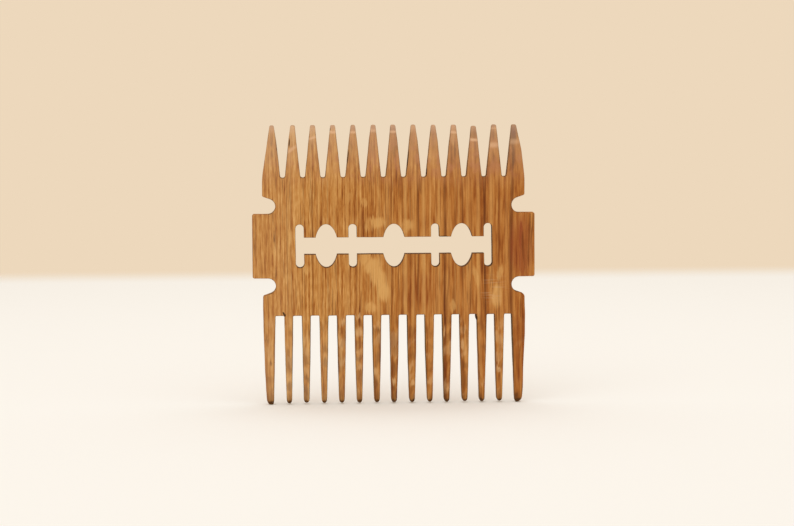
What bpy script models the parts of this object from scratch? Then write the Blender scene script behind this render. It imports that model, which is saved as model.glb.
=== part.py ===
"""Double-sided pocket comb, cut and sanded from one thin board of oak.

The comb stands on the tips of its long teeth. X runs along the spine, Z runs up from the
long tips, and the board's thickness lies along Y, with the front face towards -Y.
Lengths are in metres.
"""

import math

import bmesh
import bpy
from mathutils import Vector

# Board
BOARD_THICKNESS = 0.0037
EDGE_EASE = 0.0002

# Spine, measured from its middle line to the roots of each row of teeth
SHOULDER_WIDTH = 0.0749
UPPER_SPINE_HEIGHT = 0.01950
LOWER_SPINE_HEIGHT = 0.01995
SHOULDER_CORNER_RADIUS = 0.0005

# A tab at each end of the spine, with a round notch above and below it
TAB_REACH = 0.00290
TAB_HEIGHT = 0.01835
TAB_CORNER_RADIUS = 0.0005
NOTCH_RADIUS = 0.00222
NOTCH_DEPTH = 0.00370
NOTCH_FLARE = math.radians(19)

# Long teeth: slim ones with equal gaps, between a wide guard tooth at each end
LONG_TOOTH_COUNT = 13
LONG_TOOTH_LENGTH = 0.02560
LONG_TOOTH_ROOT_WIDTH = 0.00255
LONG_TOOTH_KNEE_WIDTH = 0.00218
LONG_TOOTH_TIP_WIDTH = 0.00140
LONG_TOOTH_TIP_RADIUS = 0.00062
LONG_TOOTH_BEND_RADIUS = 0.0600
LONG_GAP_CORNER_RADIUS = 0.00032
LONG_TOOTH_KNEE_SHARE = 0.58
GUARD_TOOTH_ROOT_WIDTH = 0.00350
GUARD_TOOTH_TIP_WIDTH = 0.00210
GUARD_TOOTH_LEAN = 0.00072
GUARD_TOOTH_TIP_RADIUS = 0.00090

# Short teeth: pointed, with the outer flanks of the row running into the shoulders
SHORT_TOOTH_COUNT = 13
SHORT_ROW_INSET = 0.00298
SHORT_TOOTH_LENGTH = 0.01495
SHORT_TOOTH_KNEE_WIDTH = 0.00220
SHORT_TOOTH_TIP_WIDTH = 0.00100
SHORT_TOOTH_TIP_RADIUS = 0.00042
SHORT_TOOTH_BEND_RADIUS = 0.0180
SHORT_GAP_WIDTH = 0.00135
SHORT_GAP_CORNER_RADIUS = 0.00058
SHORT_TOOTH_KNEE_SHARE = 0.30
SHOULDER_BEND_RADIUS = 0.0220

# Cut-out along the spine: a channel with an end slot at each end, three ovals and two cross slots
CUTOUT_LENGTH = 0.05620
CHANNEL_HEIGHT = 0.00485
OVAL_WIDTH = 0.00660
OVAL_HEIGHT = 0.01245
CROSS_SLOT_WIDTH = 0.00238
CROSS_SLOT_HEIGHT = 0.01242
CROSS_SLOT_PLACE_SHARE = 0.438

# Sanding: both faces slope in towards the tips, and are rounded over at their ends
LONG_TAPER_LENGTH = 0.0230
LONG_TIP_THICKNESS = 0.0029
LONG_TIP_ROUND = 0.00080
SHORT_TAPER_LENGTH = 0.0185
SHORT_TIP_THICKNESS = 0.0020
SHORT_TIP_ROUND = 0.0010
TAPER_BLEND_SHARE = 0.30
TIP_END_SHARE = 0.66

# How finely round stretches are drawn, and what counts as straight, flat or one point
ARC_STEP = math.radians(24)
STRAIGHT_TURN = math.radians(1)
OVAL_STEPS = 12
TIP_ROUND_STEPS = 2
SMOOTH_ANGLE = math.radians(35)
WALL_TILT = 0.2
WELD_SHARE = 0.01
SNAP_SHARE = 0.35

# Places that follow from the sizes above
SHOULDER = SHOULDER_WIDTH / 2
TAB_END = SHOULDER + TAB_REACH
SPINE_MIDDLE = LONG_TOOTH_LENGTH + LOWER_SPINE_HEIGHT
SHORT_ROOTS = SPINE_MIDDLE + UPPER_SPINE_HEIGHT
COMB_HEIGHT = SHORT_ROOTS + SHORT_TOOTH_LENGTH
GUARD_ROOT_INNER = SHOULDER - GUARD_TOOTH_ROOT_WIDTH
LONG_GAP_SPACE = 2 * GUARD_ROOT_INNER - LONG_TOOTH_COUNT * LONG_TOOTH_ROOT_WIDTH
LONG_TOOTH_PITCH = LONG_TOOTH_ROOT_WIDTH + LONG_GAP_SPACE / (LONG_TOOTH_COUNT + 1)
SHORT_TOOTH_PITCH = 2 * (SHOULDER - SHORT_ROW_INSET) / (SHORT_TOOTH_COUNT - 1)
END_SLOT_PLACE = (CUTOUT_LENGTH - CROSS_SLOT_WIDTH) / 2
CROSS_SLOT_PLACE = END_SLOT_PLACE * CROSS_SLOT_PLACE_SHARE
OVAL_PLACE = (END_SLOT_PLACE + CROSS_SLOT_PLACE) / 2

OAK_COLOUR = (0.40, 0.17, 0.055, 1.0)
OAK_ROUGHNESS = 0.55


def clear_scene():
    for old in list(bpy.data.objects):
        bpy.data.objects.remove(old, do_unlink=True)


def turned(spoke, angle):
    """A 2D vector turned anticlockwise."""
    cosine, sine = math.cos(angle), math.sin(angle)
    return Vector((spoke.x * cosine - spoke.y * sine, spoke.x * sine + spoke.y * cosine))


def arc(centre, spoke, sweep):
    """Points from the end of a spoke round its centre, anticlockwise for a positive sweep."""
    steps = max(2, math.ceil(abs(sweep) / ARC_STEP))
    return [centre + turned(spoke, sweep * i / steps) for i in range(steps + 1)]


def fillet(before, corner, after, radius):
    """The arc that rounds one corner, drawn smaller where its sides are too short for it."""
    into = (before - corner).normalized()
    out = (after - corner).normalized()
    turn = math.pi - into.angle(out)
    if radius == 0 or turn < STRAIGHT_TURN:
        return [corner]
    room = min((before - corner).length, (after - corner).length) / 2
    reach = min(radius * math.tan(turn / 2), room)
    fitted = reach / math.tan(turn / 2)
    centre = corner + (into + out).normalized() * math.hypot(fitted, reach)
    sweep = -math.copysign(turn, into.cross(out))
    return arc(centre, corner + into * reach - centre, sweep)


def rounded(corners):
    """An open line through (x, z, radius) corners, rounded at all but its two ends."""
    places = [Vector(corner[:2]) for corner in corners]
    line = [places[0]]
    for i in range(1, len(corners) - 1):
        line += fillet(places[i - 1], places[i], places[i + 1], corners[i][2])
    return line + [places[-1]]


def mirrored(line):
    """The same line on the other side of the comb, in the opposite order."""
    return [Vector((-point.x, point.y)) for point in reversed(line)]


def tab_and_notch(up):
    """The right end of the spine from its middle line to a notch's flare, up (1) or down (-1)."""
    tab_edge = SPINE_MIDDLE + up * TAB_HEIGHT / 2
    centre = Vector((SHOULDER - NOTCH_DEPTH + NOTCH_RADIUS, tab_edge + up * NOTCH_RADIUS))
    tab = rounded(
        [
            (TAB_END, SPINE_MIDDLE, 0),
            (TAB_END, tab_edge, TAB_CORNER_RADIUS),
            (centre.x, tab_edge, 0),
        ]
    )
    notch = arc(centre, Vector((0, -up * NOTCH_RADIUS)), -up * (math.pi - NOTCH_FLARE))
    return tab + notch[1:]


def shoulder_corner(flare_start, up):
    """Where the flared side of a notch comes out at the edge of the shoulder."""
    rise = (SHOULDER - flare_start.x) * math.tan(NOTCH_FLARE)
    return (SHOULDER, flare_start.y + up * rise, SHOULDER_CORNER_RADIUS)


def short_tooth_flank():
    """A short tooth's right flank, tip first, measured from its centre line."""
    knee_height = COMB_HEIGHT - SHORT_TOOTH_LENGTH * SHORT_TOOTH_KNEE_SHARE
    root_half = (SHORT_TOOTH_PITCH - SHORT_GAP_WIDTH) / 2
    return [
        (SHORT_TOOTH_TIP_WIDTH / 2, COMB_HEIGHT, SHORT_TOOTH_TIP_RADIUS),
        (SHORT_TOOTH_KNEE_WIDTH / 2, knee_height, SHORT_TOOTH_BEND_RADIUS),
        (root_half, SHORT_ROOTS, SHORT_GAP_CORNER_RADIUS),
    ]


def short_row():
    """The pointed teeth and the gaps between them, from the right shoulder to the left one."""
    flank = short_tooth_flank()
    tip_only = flank[:1]
    corners = [(SHOULDER, SHORT_ROOTS, SHOULDER_BEND_RADIUS)]
    for i in range(SHORT_TOOTH_COUNT):
        centre = SHOULDER - SHORT_ROW_INSET - i * SHORT_TOOTH_PITCH
        right = tip_only if i == 0 else flank
        left = tip_only if i == SHORT_TOOTH_COUNT - 1 else flank
        corners += [(centre + x, z, radius) for x, z, radius in reversed(right)]
        corners += [(centre - x, z, radius) for x, z, radius in left]
    return corners + [(-SHOULDER, SHORT_ROOTS, SHOULDER_BEND_RADIUS)]


def guard_tooth():
    """The wide tooth at the right end of the long row, from its outer flank to its inner root."""
    tip_outer = SHOULDER - GUARD_TOOTH_LEAN
    return [
        (SHOULDER, LONG_TOOTH_LENGTH, LONG_TOOTH_BEND_RADIUS),
        (tip_outer, 0, GUARD_TOOTH_TIP_RADIUS),
        (tip_outer - GUARD_TOOTH_TIP_WIDTH, 0, GUARD_TOOTH_TIP_RADIUS),
        (GUARD_ROOT_INNER, LONG_TOOTH_LENGTH, LONG_GAP_CORNER_RADIUS),
    ]


def long_tooth(centre):
    """One slim tooth, from its right root round the tip to its left root."""
    knee_height = LONG_TOOTH_LENGTH * LONG_TOOTH_KNEE_SHARE
    flank = [
        (LONG_TOOTH_ROOT_WIDTH / 2, LONG_TOOTH_LENGTH, LONG_GAP_CORNER_RADIUS),
        (LONG_TOOTH_KNEE_WIDTH / 2, knee_height, LONG_TOOTH_BEND_RADIUS),
        (LONG_TOOTH_TIP_WIDTH / 2, 0, LONG_TOOTH_TIP_RADIUS),
    ]
    right = [(centre + x, z, radius) for x, z, radius in flank]
    left = [(centre - x, z, radius) for x, z, radius in reversed(flank)]
    return right + left


def long_row():
    """The long teeth and the gaps between them, from the right guard tooth to the left one."""
    guard = guard_tooth()
    middle = (LONG_TOOTH_COUNT - 1) / 2
    corners = list(guard)
    for i in range(LONG_TOOTH_COUNT):
        corners += long_tooth((middle - i) * LONG_TOOTH_PITCH)
    return corners + [(-x, z, radius) for x, z, radius in reversed(guard)]


def outer_edge(up):
    """The comb's edge above (1) or below (-1) its middle line, from right to left."""
    end = tab_and_notch(up)
    flare_start = end[-1]
    corner = shoulder_corner(flare_start, up)
    row = short_row() if up > 0 else long_row()
    corners = [(flare_start.x, flare_start.y, 0), corner] + row
    corners += [(-corner[0], corner[1], corner[2]), (-flare_start.x, flare_start.y, 0)]
    return end[:-1] + rounded(corners) + mirrored(end[:-1])


def oval_arc(centre):
    """The part of an oval that stands above the channel, from left to right."""
    cut = math.asin(CHANNEL_HEIGHT / OVAL_HEIGHT)
    sweep = math.pi - 2 * cut
    line = []
    for i in range(OVAL_STEPS + 1):
        angle = math.pi - cut - sweep * i / OVAL_STEPS
        place = (centre + OVAL_WIDTH / 2 * math.cos(angle), OVAL_HEIGHT / 2 * math.sin(angle))
        line.append(Vector(place))
    return line


def cross_slot(centre):
    """The part of a slot that stands above the channel, with its round end, left to right."""
    half = CROSS_SLOT_WIDTH / 2
    end_centre = Vector((centre, CROSS_SLOT_HEIGHT / 2 - half))
    foot = Vector((half, CHANNEL_HEIGHT / 2))
    round_end = arc(end_centre, Vector((-half, 0)), -math.pi)
    return [Vector((centre - foot.x, foot.y))] + round_end + [Vector((centre + foot.x, foot.y))]


def cutout_edge(up):
    """The cut-out's edge above (1) or below (-1) the middle line, from left to right."""
    end_slot = cross_slot(-END_SLOT_PLACE)
    line = [Vector((-CUTOUT_LENGTH / 2, 0))] + end_slot[1:]
    line += oval_arc(-OVAL_PLACE) + cross_slot(-CROSS_SLOT_PLACE)
    whole = line + oval_arc(0) + mirrored(line)
    return [Vector((point.x, SPINE_MIDDLE + up * point.y)) for point in whole]


def sanded(from_tip, taper_length, tip_thickness, tip_round):
    """Half the board's thickness at a distance from a row's tips."""
    full = BOARD_THICKNESS / 2
    thin = tip_thickness / 2
    if from_tip < tip_round:
        over = min(1.0, 1 - from_tip / tip_round)
        return thin * (TIP_END_SHARE + (1 - TIP_END_SHARE) * math.sqrt(1 - over * over))
    along = min(1.0, (from_tip - tip_round) / (taper_length - tip_round))
    slope = 1 / (1 - TAPER_BLEND_SHARE / 2)
    rise = along * slope
    if along > 1 - TAPER_BLEND_SHARE:
        rest = 1 - along
        rise = 1 - slope * rest * rest / (2 * TAPER_BLEND_SHARE)
    return thin + (full - thin) * rise


def half_thickness(height):
    """How far each face lies from the comb's middle plane, at a height above the long tips."""
    if height < SPINE_MIDDLE:
        return sanded(height, LONG_TAPER_LENGTH, LONG_TIP_THICKNESS, LONG_TIP_ROUND)
    from_top = COMB_HEIGHT - height
    return sanded(from_top, SHORT_TAPER_LENGTH, SHORT_TIP_THICKNESS, SHORT_TIP_ROUND)


def slope_changes(taper_length, tip_round):
    """The distances from a row's tips at which its faces change slope."""
    rounding = [tip_round * (i / TIP_ROUND_STEPS) ** 2 for i in range(1, TIP_ROUND_STEPS + 1)]
    blend = (taper_length - tip_round) * TAPER_BLEND_SHARE
    return rounding + [taper_length - blend, taper_length - blend / 2, taper_length]


def cut_into_bands(work):
    """Cuts the flat outline across wherever its faces will change slope."""
    heights = slope_changes(LONG_TAPER_LENGTH, LONG_TIP_ROUND)
    heights += [COMB_HEIGHT - drop for drop in slope_changes(SHORT_TAPER_LENGTH, SHORT_TIP_ROUND)]
    for height in heights:
        bmesh.ops.bisect_plane(
            work,
            geom=work.verts[:] + work.edges[:] + work.faces[:],
            dist=EDGE_EASE * SNAP_SHARE,
            plane_co=(0, 0, height),
            plane_no=(0, 0, 1),
        )


def mark_rims(work):
    """Marks the edges that are eased: those where a face of the board meets the wall of a cut."""
    weight = work.edges.layers.float.new("bevel_weight_edge")
    for edge in work.edges:
        tilts = [abs(face.normal.y) for face in edge.link_faces]
        edge[weight] = float(min(tilts) < WALL_TILT < max(tilts))


def comb_mesh():
    """The outline as a flat sheet, extruded through the board and sanded to its thickness."""
    work = bmesh.new()
    for up in (1, -1):
        line = outer_edge(up) + cutout_edge(up)
        work.faces.new([work.verts.new((point.x, 0, point.y)) for point in line])
    bmesh.ops.remove_doubles(work, verts=work.verts, dist=EDGE_EASE * WELD_SHARE)
    cut_into_bands(work)
    made = bmesh.ops.extrude_face_region(work, geom=work.faces[:])
    back = {item for item in made["geom"] if isinstance(item, bmesh.types.BMVert)}
    for vertex in work.verts:
        half = half_thickness(vertex.co.z)
        vertex.co.y = half if vertex in back else -half
    bmesh.ops.recalc_face_normals(work, faces=work.faces)
    mark_rims(work)
    mesh = bpy.data.meshes.new("oak_comb")
    work.to_mesh(mesh)
    work.free()
    return mesh


def oiled_oak():
    material = bpy.data.materials.new("oiled_oak")
    material.use_nodes = True
    shader = material.node_tree.nodes["Principled BSDF"]
    shader.inputs["Base Color"].default_value = OAK_COLOUR
    shader.inputs["Roughness"].default_value = OAK_ROUGHNESS
    shader.inputs["Metallic"].default_value = 0.0
    material.diffuse_color = OAK_COLOUR
    return material


def build_comb():
    mesh = comb_mesh()
    mesh.materials.append(oiled_oak())
    mesh.shade_smooth()
    mesh.set_sharp_from_angle(angle=SMOOTH_ANGLE)
    comb = bpy.data.objects.new("oak_comb", mesh)
    bpy.context.scene.collection.objects.link(comb)
    ease = comb.modifiers.new("eased_edges", "BEVEL")
    ease.width = EDGE_EASE
    ease.segments = 1
    ease.limit_method = "WEIGHT"
    ease.use_clamp_overlap = False


clear_scene()
build_comb()
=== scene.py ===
import math

import bmesh
import bpy
from mathutils import Matrix, Vector, noise


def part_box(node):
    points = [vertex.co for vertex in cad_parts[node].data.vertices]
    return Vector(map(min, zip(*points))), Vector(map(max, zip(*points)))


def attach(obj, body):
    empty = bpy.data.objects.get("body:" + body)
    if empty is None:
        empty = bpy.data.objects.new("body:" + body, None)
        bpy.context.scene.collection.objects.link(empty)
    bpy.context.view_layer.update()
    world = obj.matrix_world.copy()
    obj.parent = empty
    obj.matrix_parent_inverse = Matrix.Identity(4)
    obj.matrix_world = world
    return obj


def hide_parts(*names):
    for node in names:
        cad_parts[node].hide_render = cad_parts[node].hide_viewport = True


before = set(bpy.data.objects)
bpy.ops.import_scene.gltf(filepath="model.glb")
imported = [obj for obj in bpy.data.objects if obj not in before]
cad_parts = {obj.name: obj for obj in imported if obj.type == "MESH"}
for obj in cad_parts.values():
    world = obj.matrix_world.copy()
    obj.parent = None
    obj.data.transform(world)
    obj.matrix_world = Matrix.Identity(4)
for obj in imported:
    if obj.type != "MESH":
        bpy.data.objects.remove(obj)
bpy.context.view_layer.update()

# The comb is drawn in millimetres and scaled to the frame's metres
MM = 0.001
COMB_LOW, COMB_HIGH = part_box("oak_comb")
WIDTH = (COMB_HIGH.x - COMB_LOW.x) / MM
HEIGHT = (COMB_HIGH.z - COMB_LOW.z) / MM
THICKNESS = (COMB_HIGH.y - COMB_LOW.y) / MM

# Camera, found by fitting the comb's outline to the photo
PHOTO_WIDTH = 794
PHOTO_HEIGHT = 526
LENS = 105
SENSOR = 36
CAMERA_YAW = math.radians(-2.605)
CAMERA_PITCH = math.radians(4.832)
CAMERA_ROLL = math.radians(-0.297)
CAMERA_DISTANCE = 663.41
CAMERA_AIM = Vector((0.937, 0.0, 40.379))
CLIP_START = 0.01
CLIP_END = 20

# Tab, shoulders and notches
TAB_REACH = 2.9
TAB_HEIGHT = 18.35
TAB_CORNER_RADIUS = 0.55
NOTCH_RADIUS = 2.22
NOTCH_DEPTH = 3.7
NOTCH_FLARE = math.radians(19)
SHOULDER_CORNER_RADIUS = 0.55
WORN_CORNER_RADIUS = 1.1

# Long teeth
LONG_TOOTH_COUNT = 13
LONG_TOOTH_LENGTH = 25.6
LONG_TOOTH_ROOT_WIDTH = 2.55
LONG_TOOTH_KNEE_WIDTH = 2.26
LONG_TOOTH_TIP_WIDTH = 1.63
LONG_TIP_ARCH = 1.15
LONG_TOOTH_BEND_RADIUS = 60
LONG_GAP_CORNER_RADIUS = 0.32
LONG_TOOTH_KNEE_SHARE = 0.58
GUARD_TOOTH_ROOT_WIDTH = 3.5
GUARD_TOOTH_LEAN = 0.72
RIGHT_TOOTH_SWELL = 0.25

# Short teeth
SHORT_TOOTH_COUNT = 13
SHORT_ROW_INSET = 2.98
SHORT_TOOTH_LENGTH = 14.95
SHORT_TOOTH_KNEE_WIDTH = 2.28
SHORT_TOOTH_TIP_WIDTH = 1.28
SHORT_TOOTH_TIP_RADIUS = 0.5
SHORT_TOOTH_BEND_RADIUS = 18
SHORT_GAP_WIDTH = 1.3
SHORT_GAP_CORNER_RADIUS = 0.58
SHORT_TOOTH_KNEE_SHARE = 0.3
SHOULDER_BEND_RADIUS = 22

# Cut-out
CUTOUT_LENGTH = 56.2
CHANNEL_HEIGHT = 4.85
OVAL_WIDTH = 6.6
OVAL_HEIGHT = 12.45
CROSS_SLOT_WIDTH = 2.38
CROSS_SLOT_HEIGHT = 12.42
CROSS_SLOT_PLACE_SHARE = 0.438

# Sanded faces
LONG_TAPER_LENGTH = 23
LONG_TIP_THICKNESS = 2.9
LONG_TIP_ROUND = 0.8
SHORT_TAPER_LENGTH = 18.5
SHORT_TIP_THICKNESS = 2
SHORT_TIP_ROUND = 1
TAPER_BLEND_SHARE = 0.3
TIP_END_SHARE = 0.55

# Rounded rims: how far the rounding goes in from each kind of edge
OUTER_RIM = 0.46
TOOTH_RIM = 0.36
CUTOUT_RIM = 0.15
RIM_STEPS = 4
OUTER_REACH = 1

# Hand work: how far the cuts wander and the teeth differ
WANDER = 0.045
WANDER_LENGTH = 3.5
TIP_SWAY = 0.1
TIP_DROP = 0.14
SHORT_TIP_DROP = 0.03
ROOT_STRAY = 0.03
LONG_TIP_LIFT = 0.26
CUTOUT_SHIFT = 0.07
CUTOUT_LEAN = 0.011

# Where the noise is read: how far apart for two teeth and for two kinds of difference, from
# where on, and on which level for the wander of the cuts
TOOTH_APART = 3.7
KIND_APART = 11.3
NOISE_START = (0.31, 0.17, 0.5)
WANDER_LEVEL = 2.3

# By what share the widths of the teeth differ
SHORT_TIP_SPREAD = 0.12
SHORT_KNEE_SPREAD = 0.04
LONG_TIP_SPREAD = 0.05
LONG_KNEE_SPREAD = 0.03

# Short teeth sanded a little shorter, counted from the right, and the fuller outer flank of the
# first of them: how far in from the shoulder and below the top it bends
SHORT_TIP_DROPS = {0: 0.16, 1: 0.12, 2: 0.48, 3: 0.14, 4: 0.12, 5: 0.04}
FULL_FLANK = (0.82, 7.5)

# The end teeth were worn by hand: how far each bend of the flank stands out from the shoulder
# and its height, and how far each point of the tip stands in from the shoulder and its height
RIGHT_GUARD_FLANK = ((0.15, 25.6), (0.1, 19.5), (-0.38, 10.5))
LEFT_GUARD_FLANK = ((0, 25.6), (-0.31, 11))
RIGHT_GUARD_TIP = (
    (0.47, 4.3), (0.6, 2.5), (0.7, 1.6), (0.84, 1.1), (1.1, 0.7), (1.55, 0.26), (1.9, 0.05),
    (2.15, 0), (2.45, 0.08), (2.68, 0.3), (2.82, 0.7), (2.95, 2.2),
)
LEFT_GUARD_TIP = (
    (0.62, 4.3), (0.78, 2), (0.88, 1.2), (1.1, 0.65), (1.45, 0.25), (1.85, 0.02), (2.25, 0),
    (2.52, 0.12), (2.78, 0.45), (2.88, 1),
)

# A splinter stands off the root of the second long tooth from the right: how far it reaches
# into the gap, and how far below the gap's root
SPLINTERED_TOOTH = 1
SPLINTER = ((0, 0), (0.38, 0.15), (0.4, 0.75), (0.3, 1.35), (0.12, 1.75), (0, 1.95))

# How finely curves, tapers and rounded tips are drawn
ARC_STEP = math.radians(9)
STRAIGHT_TURN = math.radians(1)
LONGEST_EDGE = 1.2
OVAL_STEPS = 22
ARCH_STEPS = 10
TIP_BANDS = 6
TAPER_BANDS = 9
SNAP = 0.004
SMOOTH_ANGLE = math.radians(50)

SHOULDER = WIDTH / 2 - TAB_REACH
TAB_END = WIDTH / 2
SHORT_ROOTS = HEIGHT - SHORT_TOOTH_LENGTH
SPINE_MIDDLE = 45.55
GUARD_ROOT_INNER = SHOULDER - GUARD_TOOTH_ROOT_WIDTH
LONG_GAP_SPACE = 2 * GUARD_ROOT_INNER - LONG_TOOTH_COUNT * LONG_TOOTH_ROOT_WIDTH
LONG_TOOTH_PITCH = LONG_TOOTH_ROOT_WIDTH + LONG_GAP_SPACE / (LONG_TOOTH_COUNT + 1)
SHORT_TOOTH_PITCH = 2 * (SHOULDER - SHORT_ROW_INSET) / (SHORT_TOOTH_COUNT - 1)
END_SLOT_PLACE = (CUTOUT_LENGTH - CROSS_SLOT_WIDTH) / 2
CROSS_SLOT_PLACE = END_SLOT_PLACE * CROSS_SLOT_PLACE_SHARE
OVAL_PLACE = (END_SLOT_PLACE + CROSS_SLOT_PLACE) / 2

# Stage: lengths in millimetres, and the two colours that the camera sees from 0 to 255
FLOOR_REACH = 460
FLOOR_FADE = (378, 450)
FLOOR_PALE = (246, 248, 249)
FLOOR_ROUGHNESS = 0.8
FLOOR_GLOW = (1, 0.75, 0.5, 1)
FLOOR_GLOW_SHARE = 0.2
BACKGROUND = (237, 216, 188)
WORLD_LIGHT = (1, 0.95, 0.875, 1)
WORLD_STRENGTH = 0.82
LAMP_WHITE = (0.94, 0.98, 1)

# Lamps: name, place, what they aim at, size and watts
LAMPS = (
    ("overhead", (30, 60, 760), (0, 0, 20), 600, 1.36),
    ("front_fill", (-350, -700, 900), (0, 0, 40), 800, 1.43),
)


def make_camera():
    data = bpy.data.cameras.new("camera")
    data.sensor_fit = "HORIZONTAL"
    data.sensor_width = SENSOR
    data.lens = LENS
    data.clip_start = CLIP_START
    data.clip_end = CLIP_END
    back = Vector(
        (
            math.sin(CAMERA_YAW) * math.cos(CAMERA_PITCH),
            -math.cos(CAMERA_YAW) * math.cos(CAMERA_PITCH),
            math.sin(CAMERA_PITCH),
        )
    )
    right = (-back).cross(Vector((0, 0, 1))).normalized()
    up = right.cross(-back)
    across = math.cos(CAMERA_ROLL) * right + math.sin(CAMERA_ROLL) * up
    upright = -math.sin(CAMERA_ROLL) * right + math.cos(CAMERA_ROLL) * up
    camera = bpy.data.objects.new("camera", data)
    turn = Matrix((across, upright, back)).transposed()
    eye = (CAMERA_AIM + back * CAMERA_DISTANCE) * MM
    camera.matrix_world = Matrix.Translation(eye) @ turn.to_4x4()
    bpy.context.scene.collection.objects.link(camera)
    bpy.context.scene.camera = camera


def on_front(px, py):
    """Where, in millimetres, a pixel of the photo falls on the comb's front face."""
    camera = bpy.context.scene.camera
    focal = PHOTO_WIDTH * LENS / SENSOR
    seen = Vector(((px - PHOTO_WIDTH / 2) / focal, (PHOTO_HEIGHT / 2 - py) / focal, -1.0))
    ray = camera.matrix_world.to_3x3() @ seen
    eye = camera.matrix_world.translation
    reach = (COMB_LOW.y - eye.y) / ray.y
    return (eye + ray * reach) / MM


# The outline, as in the CAD source but drawn finer


def turned(spoke, angle):
    cosine, sine = math.cos(angle), math.sin(angle)
    return Vector((spoke.x * cosine - spoke.y * sine, spoke.x * sine + spoke.y * cosine))


def arc(centre, spoke, sweep):
    steps = max(3, math.ceil(abs(sweep) / ARC_STEP))
    return [centre + turned(spoke, sweep * i / steps) for i in range(steps + 1)]


def fillet(before, corner, after, radius):
    into = (before - corner).normalized()
    out = (after - corner).normalized()
    turn = math.pi - into.angle(out)
    if radius == 0 or turn < STRAIGHT_TURN:
        return [corner]
    room = min((before - corner).length, (after - corner).length) / 2
    reach = min(radius * math.tan(turn / 2), room)
    fitted = reach / math.tan(turn / 2)
    centre = corner + (into + out).normalized() * math.hypot(fitted, reach)
    sweep = -math.copysign(turn, into.cross(out))
    return arc(centre, corner + into * reach - centre, sweep)


def rounded(corners):
    places = [Vector(corner[:2]) for corner in corners]
    line = [places[0]]
    for i in range(1, len(corners) - 1):
        line += fillet(places[i - 1], places[i], places[i + 1], corners[i][2])
    return line + [places[-1]]


def mirrored(line):
    return [Vector((-point.x, point.y)) for point in reversed(line)]


def vary(index, kind, amount):
    """A small fixed difference for one tooth, between plus and minus the amount. The kind is
    any number, and keeps what is varied apart."""
    across, up, level = NOISE_START
    place = Vector((index * TOOTH_APART + across, kind * KIND_APART + up, level))
    return amount * 2 * noise.noise(place)


def tab_and_notch(up):
    tab_edge = SPINE_MIDDLE + up * TAB_HEIGHT / 2
    centre = Vector((SHOULDER - NOTCH_DEPTH + NOTCH_RADIUS, tab_edge + up * NOTCH_RADIUS))
    corners = [(TAB_END, SPINE_MIDDLE, 0), (TAB_END, tab_edge, TAB_CORNER_RADIUS)]
    tab = rounded(corners + [(centre.x, tab_edge, 0)])
    notch = arc(centre, Vector((0, -up * NOTCH_RADIUS)), -up * (math.pi - NOTCH_FLARE))
    return tab + notch[1:]


def shoulder_corner(flare_start, up, radius):
    rise = (SHOULDER - flare_start.x) * math.tan(NOTCH_FLARE)
    return (SHOULDER, flare_start.y + up * rise, radius)


def short_row():
    knee_height = HEIGHT - SHORT_TOOTH_LENGTH * SHORT_TOOTH_KNEE_SHARE
    root_half = (SHORT_TOOTH_PITCH - SHORT_GAP_WIDTH) / 2
    corners = [(SHOULDER, SHORT_ROOTS, SHOULDER_BEND_RADIUS)]
    last = SHORT_TOOTH_COUNT - 1
    for i in range(SHORT_TOOTH_COUNT):
        centre = SHOULDER - SHORT_ROW_INSET - i * SHORT_TOOTH_PITCH
        tip = centre + vary(i, 1, TIP_SWAY)
        top = HEIGHT - abs(vary(i, 2, SHORT_TIP_DROP)) - SHORT_TIP_DROPS.get(i, 0)
        half = SHORT_TOOTH_TIP_WIDTH / 2 * (1 + vary(i, 3, SHORT_TIP_SPREAD))
        knee = SHORT_TOOTH_KNEE_WIDTH / 2 * (1 + vary(i, 4, SHORT_KNEE_SPREAD))
        right = [(tip + half, top, SHORT_TOOTH_TIP_RADIUS)]
        left = [(tip - half, top, SHORT_TOOTH_TIP_RADIUS)]
        if i > 0:
            root = SHORT_ROOTS + vary(i, 5, ROOT_STRAY)
            right.append((centre + knee, knee_height, SHORT_TOOTH_BEND_RADIUS))
            right.append((centre + root_half, root, SHORT_GAP_CORNER_RADIUS))
        else:
            inset, drop = FULL_FLANK
            right.append((SHOULDER - inset, HEIGHT - drop, SHORT_TOOTH_BEND_RADIUS))
        if i < last:
            root = SHORT_ROOTS + vary(i + 1, 5, ROOT_STRAY)
            left.append((centre - knee, knee_height, SHORT_TOOTH_BEND_RADIUS))
            left.append((centre - root_half, root, SHORT_GAP_CORNER_RADIUS))
        corners += list(reversed(right)) + left
    return corners + [(-SHOULDER, SHORT_ROOTS, SHOULDER_BEND_RADIUS)]


def guard_tooth(flank, tip, inner_swell):
    """An end tooth from its outer root round to its inner root, as if on the right."""
    outer = [(SHOULDER + reach, height, LONG_TOOTH_BEND_RADIUS) for reach, height in flank]
    end = [(SHOULDER - reach, height, 0) for reach, height in tip]
    inner = (GUARD_ROOT_INNER - inner_swell, LONG_TOOTH_LENGTH, LONG_GAP_CORNER_RADIUS)
    return outer + end + [inner]


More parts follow.
